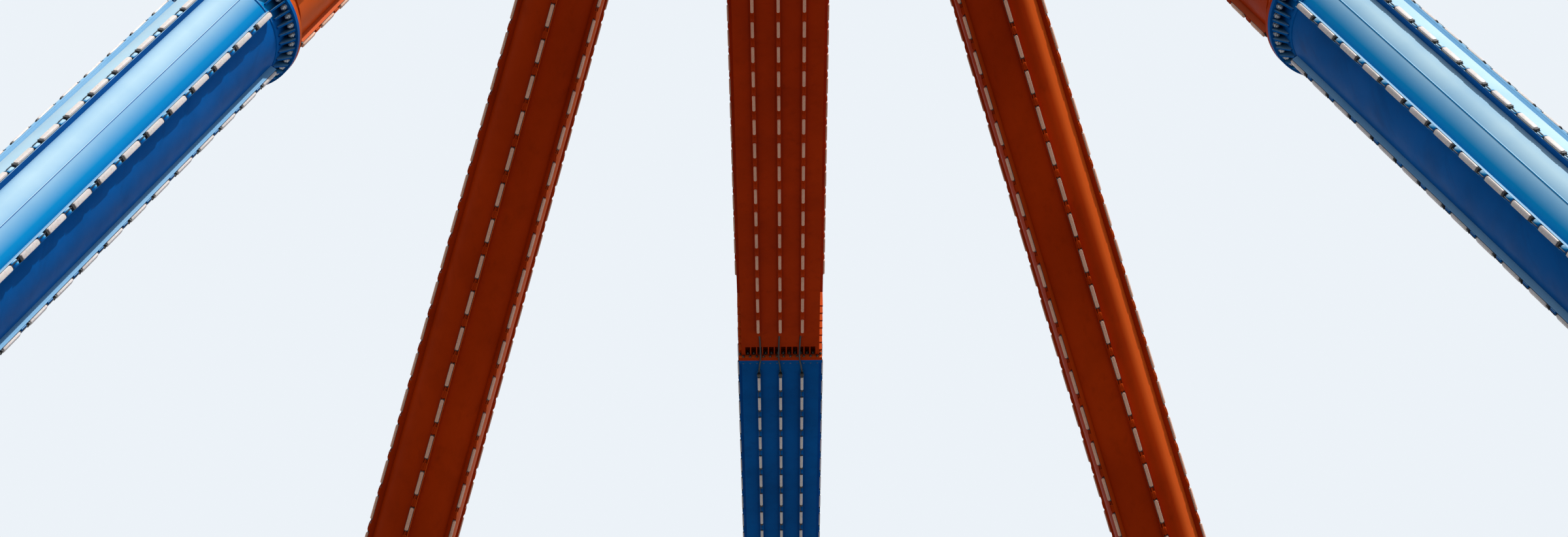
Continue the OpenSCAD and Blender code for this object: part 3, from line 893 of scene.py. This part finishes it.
def head_fittings(side, word):
    """Bolts of the gear case, of the drive motors and of the slewing ring of one head."""
    form = Form()
    rim = axle_ring(side, case_in() + GEAR_T / 3, (HEAD_D + SLEW_D) / 4, CASE_BOLTS, 180 / CASE_BOLTS)
    form.add(hex_bolt(0.036, 0.020), rim)
    cover = axle_ring(side, case_in() + GEAR_T, SLEW_D / 2 - 0.035, COVER_BOLTS)
    form.add(hex_bolt(0.030, 0.014), cover)
    spots = []
    for k in range(DRIVE_BOLTS):
        angle = 2 * math.pi * k / DRIVE_BOLTS
        out = Vector((0, math.cos(angle), math.sin(angle)))
        spots.append(basis(out * DRIVE_D * 0.54, (1, 0, 0), out))
    form.add(Form().add(hex_bolt(0.018, 0.010), spots), drive_frames(side))
    piece(f"head_bolts_{word}", form, "structure", ZINC)
    ring = axle_ring(-side, SLEW_T - HEAD_IN, SLEW_D / 2 - 0.045, SLEW_BOLTS)
    bolts = Form().add(hex_bolt(0.026, 0.008), ring)
    piece(f"slewing_ring_bolts_{word}", bolts, "structure", ZINC)


def motor_fins():
    """The cooling fins around one drive motor, in its frame."""
    length = MOTOR_LEN - 0.110
    fin = slab(0.0035, length, 0, 0.016, 0.0005, 0.001)
    places = []
    for k in range(MOTOR_FINS):
        angle = 2 * math.pi * k / MOTOR_FINS
        out = Vector((0, math.cos(angle), math.sin(angle)))
        root = out * (MOTOR_D / 2 - 0.004) + Vector((DRIVE_LEN + 0.020 + length / 2, 0, 0))
        places.append(basis(root, out, (1, 0, 0)))
    return Form().add(fin, places)


def motor_form():
    """Flanges, cooling fins, fan cover and terminal box of one drive motor, in its frame."""
    form = motor_fins()
    form.add(drum(DRIVE_D * 0.60, 0.0, 0.022, DRIVE_SIDES, 0.003))
    form.add(drum(DRIVE_D * 0.53, 0.10, 0.135, DRIVE_SIDES, 0.004))
    form.add(drum(DRIVE_D * 0.53, DRIVE_LEN - 0.045, DRIVE_LEN - 0.010, DRIVE_SIDES, 0.004))
    end = DRIVE_LEN + MOTOR_LEN
    form.add(loft([
        round_ring(end - 0.085, MOTOR_D / 2 + 0.012, DRIVE_SIDES),
        round_ring(end - 0.012, MOTOR_D / 2 + 0.012, DRIVE_SIDES),
        round_ring(end + 0.004, MOTOR_D / 2 - 0.004, DRIVE_SIDES),
        round_ring(end + 0.004, MOTOR_D / 4, DRIVE_SIDES),
        round_ring(end - 0.004, MOTOR_D / 4 - 0.006, DRIVE_SIDES),
    ]))
    terminal_box = slab(0.090, 0.110, 0, 0.060, 0.010, 0.004, 2)
    form.add(terminal_box, [basis((DRIVE_LEN + 0.120, 0, MOTOR_D / 2 - 0.006), (0, 0, 1), (1, 0, 0))])
    return form


def drive_fittings(side, word):
    """The fittings of one head's drive motors."""
    form = Form().add(motor_form(), drive_frames(side))
    piece(f"drive_fittings_{word}", form, "structure", DRIVE)


def spaced(half, gap):
    """Places from -half to half at even steps of about a gap."""
    count = round(2 * half / gap)
    return [-half + 2 * half * (k + 0.5) / count for k in range(count)]


def around_arm(s, gap, stand):
    """Points with their outward directions, spaced around the arm's outline."""
    made = []
    half, deep = arm_half(s) + stand, ARM_DEPTH / 2 + stand
    for way in (-1, 1):
        made += [((x, way * deep, -s), (0, way, 0)) for x in spaced(half, gap)]
        made += [((way * half, y, -s), (way, 0, 0)) for y in spaced(deep, gap)]
    return made


def arm_bolts():
    """Bolts of the arm's joints, of its stiffened end and of the pockets at its splice."""
    form = Form()
    small = hex_bolt(0.017, 0.009, stud=0.005)
    large = hex_bolt(0.024, 0.012, stud=0.006)
    for joint in (ARM_NECK, ARM_SPLICE_S):
        for way in (-1, 1):
            s = joint + way * ARM_LIP_T
            for point, out in around_arm(s, LIP_BOLT_GAP, ARM_LIP * 0.5):
                form.add(small, [ARM @ basis(point, (0, 0, -way), out)])
    start = ARM_SPLICE_S - ARM_STIFF_LEN
    step = (ARM_STIFF_LEN - ARM_LIP_T) / ARM_STIFFENERS
    for k in range(ARM_STIFFENERS):
        s = start + step * (k + 1) - 0.006
        if k == ARM_STIFFENERS - 1:
            s = start + step * (k + 0.9)
        for way in (-1, 1):
            for y in STIFFENER_BOLT_Y:
                point = (way * (arm_half(s) - ARM_WEB_INSET), y, -s)
                form.add(large, [ARM @ basis(point, (way, 0, 0), (0, 0, -1))])
    span = 2 * (arm_half(ARM_SPLICE_S) - ARM_WEB_INSET - ARM_PLATE_T)
    for k in range(ARM_POCKETS):
        x = (k + 0.5) * span / ARM_POCKETS - span / 2
        for way in (-1, 1):
            point = (x, way * (ARM_DEPTH / 2 - 0.022), ARM_LIP_T - ARM_SPLICE_S)
            form.add(large, [ARM @ basis(point, (0, 0, 1), (0, way, 0))])
    piece("arm_bolts", form, "arm", DULL_BOLTS)


def arm_wires():
    """The wire across the front of the arm's splice under each row of lights, with its plug."""
    wires = Form()
    out = Vector((0, -1, 0))
    for row, bend in ((-1, 0.011), (0, -0.009), (1, -0.015)):
        top = arm_row_point(("Y", -1), row, ARM_SPLICE_S - WIRE_ABOVE)
        end = arm_row_point(("Y", -1), row, ARM_SPLICE_S + WIRE_BELOW)
        path = smooth_path([
            top - out * 0.010,
            top + Vector((bend, 0, -0.080)) - out * 0.020,
            top + Vector((bend * 1.5, 0, -0.250)) + out * 0.004,
            top + Vector((bend * 1.2, 0, -WIRE_ABOVE)) + out * 0.012,
            end + Vector((bend * 0.6, 0, 0.110)) - out * 0.004,
            end + Vector((0, 0, 0.020)) - out * 0.004,
        ], 5)
        wires.add(tube(path, 0.0065, 7), [ARM])
        plug = slab(0.030, 0.038, -0.002, 0.018, 0.008, 0.003, 2)
        wires.add(plug, [ARM @ basis(end, out, (0, 0, -1))])
    piece("arm_wires", wires, "arm", CABLE)


def arm_welds():
    """Weld beads along the arm's four long corners, where its side plates meet the others."""
    y = ARM_DEPTH / 2 - ARM_PLATE_T
    for colour, low, high in (("orange", ARM_NECK, ARM_SPLICE_S), ("blue", ARM_SPLICE_S, ARM_LEN)):
        places = [low + (high - low) * k / ARM_SEAM_STEPS for k in range(ARM_SEAM_STEPS + 1)]
        outline = [(arm_half(s) - ARM_WEB_INSET - 0.001, s) for s in places]
        form = Form()
        for way_x in (-1, 1):
            for way_y in (-1, 1):
                seam = [(way_x * x, way_y * y, -s) for x, s in outline]
                form.add(tube(seam, 0.0055, 6), [ARM])
        piece(f"{colour}_arm_welds", form, "arm", PAINTS[colour])


# Seat ring

RING = ARM @ Matrix.Translation((0, 0, -ARM_LEN - GONDOLA_HUB_H / 2))
ROW_SPAN = 360 / SEAT_ROWS
SEAT_PITCH = ROW_SPAN / ROW_SEATS
SHELF_R = RING_R + RING_W / 2


def seat_frame(index, seat):
    """A seat's frame: +X the way that it faces, +Z up, and the origin low at its back."""
    turn = (index - 1.5) * ROW_SPAN + (seat + 0.5) * SEAT_PITCH
    return RING @ turned("Z", turn) @ Matrix.Translation((SHELF_R + SEAT_T, 0, 0))


def upright(x, z):
    """A frame in a seat, with +X the way that the seat faces and +Z up."""
    return basis((x, 0, z), (1, 0, 0), (0, 0, 1))


def lying(x, z):
    """A frame in a seat, with +X up and +Z the way that the seat faces."""
    return basis((x, 0, z), (0, 0, 1), (1, 0, 0))


def seat_shell_form():
    """A moulded seat shell with a dished back, a dished pan and rounded sides."""
    form = Form()
    back = loft([
        slab_ring(0.000, SEAT_W - 0.060, SEAT_BACK_H - 0.040, 0.050, 4),
        slab_ring(0.012, SEAT_W - 0.006, SEAT_BACK_H - 0.004, 0.050, 4),
        slab_ring(0.050, SEAT_W, SEAT_BACK_H, 0.050, 4),
        slab_ring(0.078, SEAT_W - 0.010, SEAT_BACK_H - 0.016, 0.046, 4),
        slab_ring(0.080, SEAT_W - 0.024, SEAT_BACK_H - 0.030, 0.042, 4),
        slab_ring(0.052, SEAT_W - 0.060, SEAT_BACK_H - 0.060, 0.036, 4),
    ])
    form.add(back, [Matrix.Translation((0, 0, SEAT_BACK_H / 2))])
    pan = loft([
        slab_ring(0.000, SEAT_W - 0.040, SEAT_DEPTH - 0.050, 0.040, 4),
        slab_ring(0.014, SEAT_W - 0.004, SEAT_DEPTH - 0.016, 0.044, 4),
        slab_ring(0.062, SEAT_W, SEAT_DEPTH - 0.010, 0.044, 4),
        slab_ring(0.078, SEAT_W - 0.010, SEAT_DEPTH - 0.024, 0.040, 4),
        slab_ring(0.079, SEAT_W - 0.022, SEAT_DEPTH - 0.036, 0.036, 4),
        slab_ring(0.056, SEAT_W - 0.052, SEAT_DEPTH - 0.070, 0.030, 4),
    ])
    form.add(pan, [lying(SEAT_DEPTH / 2 + 0.003, 0)])
    return form


def shelf_form():
    """The curved shelf under one row of seats, in the ring's frame about +Z."""
    outer = SHELF_R + SEAT_DEPTH * 0.7
    low, top = -RING_BEAM_H / 2, SEAT_T / 2
    section = [
        (SHELF_R, top),
        (outer - 0.008, top),
        (outer, top - 0.008),
        (outer, low + 0.02),
        (outer - 0.02, low),
        (SHELF_R, low),
    ]
    span = ROW_SPAN - SEAT_PITCH * 0.1
    steps = 16
    rings = []
    for k in range(steps + 1):
        angle = math.radians(span * (k / steps - 0.5))
        rings.append([(r * math.cos(angle), r * math.sin(angle), z) for r, z in section])
    return loft(rings)


def restraint_form():
    """The foam-covered shoulder bars of one seat, in the seat's frame."""
    form = Form()
    for way in (-1, 1):
        path = smooth_path([
            (0.030, way * 0.074, SEAT_BACK_H - 0.050),
            (0.062, way * 0.074, SEAT_BACK_H + 0.004),
            (0.118, way * 0.070, SEAT_BACK_H - 0.012),
            (0.158, way * 0.062, SEAT_BACK_H - 0.090),
            (0.176, way * 0.056, SEAT_BACK_H - 0.200),
            (0.176, way * 0.052, 0.165),
        ], 5)
        swell = [0.019 - 0.005 * (abs(2 * k / (len(path) - 1) - 1) ** 4) for k in range(len(path))]
        form.add(tube(path, swell, 10))
    form.add(slab(0.150, 0.046, 0.0, 0.030, 0.018, 0.008, 3), [upright(0.164, 0.185)])
    return form


def grip_form():
    """The two hand grips and the pivot bar of one seat's restraint."""
    form = Form()
    for way in (-1, 1):
        path = smooth_path([
            (0.186, way * 0.056, 0.330),
            (0.212, way * 0.054, 0.322),
            (0.214, way * 0.053, 0.262),
            (0.188, way * 0.052, 0.250),
        ], 4)
        form.add(tube(path, 0.0065))
    bar = [(0.026, way * 0.098, SEAT_BACK_H - 0.058) for way in (-1, 1)]
    form.add(tube(bar, 0.011, 10))
    return form


def seats():
    """Every row of seats, with shells, pads, restraints and grips."""
    shell, restraint, grip = seat_shell_form(), restraint_form(), grip_form()
    back_pad = pad(SEAT_W - 0.056, SEAT_BACK_H - 0.150, 0.026, 3)
    pan_pad = pad(SEAT_W - 0.050, SEAT_DEPTH - 0.085, 0.026, 1)
    head_pad = pad(0.120, 0.090, 0.026, 0, (8, 6))
    for index in range(1, SEAT_ROWS + 1):
        at = [seat_frame(index, seat) for seat in range(ROW_SEATS)]
        shells = Form().add(shell, at)
        shells.add(shelf_form(), [RING @ turned("Z", (index - 1) * ROW_SPAN)])
        row = piece(f"seat_shells_{index}", shells, "arm", SHELL)
        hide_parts(f"seat_row_{index}")
        pads = Form()
        pads.add(back_pad, [m @ upright(0.056, 0.235) for m in at])
        pads.add(head_pad, [m @ upright(0.058, SEAT_BACK_H - 0.075) for m in at])
        pads.add(pan_pad, [m @ lying(0.150, 0.060) for m in at])
        cushions = piece(f"seat_pads_{index}", pads, "arm", VINYL, 50)
        bars = Form().add(restraint, at)
        foam = piece(f"shoulder_restraints_{index}", bars, "arm", VINYL, 50)
        piece(f"restraint_grips_{index}", Form().add(grip, at), "arm", ZINC)


def gondola_fittings():
    """Bolted plates where the spokes meet the ring beam, and bolts around the drum's top."""
    inner = RING_R - RING_W / 2
    plate = slab(0.190, RING_BEAM_H - 0.020, 0, 0.010, 0.012, 0.002, 2)
    form = Form().add(plate, [basis((inner - 0.001, 0, 0), (-1, 0, 0), (0, 0, 1))])
    for y in (-0.078, 0.078):
        for z in (-0.055, 0.0, 0.055):
            form.add(hex_bolt(0.018, 0.009), [basis((inner - 0.011, y, z), (-1, 0, 0), (0, 0, 1))])
    plates = Form().add(form, [RING @ turned("Z", (k + 0.5) * 360 / SPOKES) for k in range(SPOKES)])
    piece("spoke_plates", plates, "arm", FRAME)
    place = basis((GONDOLA_HUB_D / 2 - 0.045, 0, GONDOLA_HUB_H / 2), (0, 0, 1), (1, 0, 0))
    ring = [RING @ turned("Z", (k + 0.5) * 360 / DRUM_BOLTS) @ place for k in range(DRUM_BOLTS)]
    bolts = Form().add(hex_bolt(0.024, 0.012), ring)
    piece("drum_bolts", bolts, "arm", ZINC)


# Stage, light and camera


def seen_rays(tree):
    """1 for a ray from the camera, off a glossy surface or through glass, and 0 for others."""
    path = tree.nodes.new("ShaderNodeLightPath")
    seen = path.outputs["Is Camera Ray"]
    for ray in ("Is Glossy Ray", "Is Transmission Ray"):
        either = tree.nodes.new("ShaderNodeMath")
        either.operation = "MAXIMUM"
        tree.links.new(seen, either.inputs[0])
        tree.links.new(path.outputs[ray], either.inputs[1])
        seen = either.outputs[0]
    return seen


def stage():
    """A large floor that shows pale but throws little light up at the ride."""
    size = 400.0
    corners = [(-size, -size, 0), (size, -size, 0), (size, size, 0), (-size, size, 0)]
    mesh = bpy.data.meshes.new("floor")
    mesh.from_pydata(corners, [], [(0, 1, 2, 3)])
    floor = bpy.data.objects.new("floor", mesh)
    bpy.context.scene.collection.objects.link(floor)
    s = Shader("floor", Roughness=0.9, Specular_IOR_Level=0.1)
    s.link(s.mix(seen_rays(s.tree), (0.20, 0.20, 0.20, 1), (0.60, 0.62, 0.64, 1)), "Base Color")
    mesh.materials.append(s.material)


def lamps():
    """A key light high on the front right, and a soft bluish fill from low on the right."""
    for name, energy, angle, colour, towards in (
        ("key", 3.5, 1.2, (1.0, 0.97, 0.93), (0.29, -0.30, 0.91)),
        ("fill", 1.6, 60.0, (0.56, 0.72, 1.0), (0.93, 0.25, -0.25)),
    ):
        data = bpy.data.lights.new(name, "SUN")
        data.energy = energy
        data.angle = math.radians(angle)
        data.color = colour
        lamp = bpy.data.objects.new(name, data)
        lamp.rotation_euler = Vector(towards).to_track_quat("Z", "Y").to_euler()
        bpy.context.scene.collection.objects.link(lamp)


def sky():
    """A dim sky that lights the ride, and the pale backdrop that the camera sees."""
    world = bpy.data.worlds.new("sky")
    world.use_nodes = True
    tree = world.node_tree
    dim = tree.nodes["Background"]
    dim.inputs["Color"].default_value = (0.86, 0.93, 1.0, 1)
    dim.inputs["Strength"].default_value = 0.31
    backdrop = tree.nodes.new("ShaderNodeBackground")
    backdrop.inputs["Color"].default_value = (0.84, 0.89, 0.94, 1)
    backdrop.inputs["Strength"].default_value = 1.0
    mixed = tree.nodes.new("ShaderNodeMixShader")
    tree.links.new(seen_rays(tree), mixed.inputs[0])
    tree.links.new(dim.outputs[0], mixed.inputs[1])
    tree.links.new(backdrop.outputs[0], mixed.inputs[2])
    tree.links.new(mixed.outputs[0], tree.nodes["World Output"].inputs[0])
    bpy.context.scene.world = world


IMAGE_W = 2400
FOCAL_PX = 5213.92
CAMERA_PLACE = (-0.0922, -17.3637, 0.6747)
CAMERA_PITCH = 31.7434
CAMERA_YAW = 0.3167
CAMERA_ROLL = -0.7452


def camera():
    """The camera near the ground in front, looking up, with the photograph's framing."""
    pitch, yaw, roll = (math.radians(a) for a in (CAMERA_PITCH, CAMERA_YAW, CAMERA_ROLL))
    ahead = Vector((math.sin(yaw) * math.cos(pitch), math.cos(yaw) * math.cos(pitch), math.sin(pitch)))
    right = Vector((math.cos(yaw), -math.sin(yaw), 0))
    up = right.cross(ahead)
    across = math.cos(roll) * right + math.sin(roll) * up
    above = -math.sin(roll) * right + math.cos(roll) * up
    data = bpy.data.cameras.new("camera")
    data.sensor_width = 36.0
    data.lens = FOCAL_PX / IMAGE_W * data.sensor_width
    data.clip_end = 500.0
    made = bpy.data.objects.new("camera", data)
    made.matrix_world = Matrix((across, above, -ahead)).transposed().to_4x4()
    made.location = CAMERA_PLACE
    bpy.context.scene.collection.objects.link(made)
    bpy.context.scene.camera = made


dress_cad_nodes()
for leg in LEGS:
    leg_lights(leg)
    leg_bolts(leg)
    leg_welds(leg)
    foot_fittings(leg)
for side, word in ((LEFT, "left"), (RIGHT, "right")):
    head_fittings(side, word)
    drive_fittings(side, word)
arm_lights()
arm_bolts()
arm_wires()
arm_welds()
gondola_fittings()
seats()
stage()
lamps()
sky()
camera()
bpy.context.scene.view_settings.view_transform = "Standard"
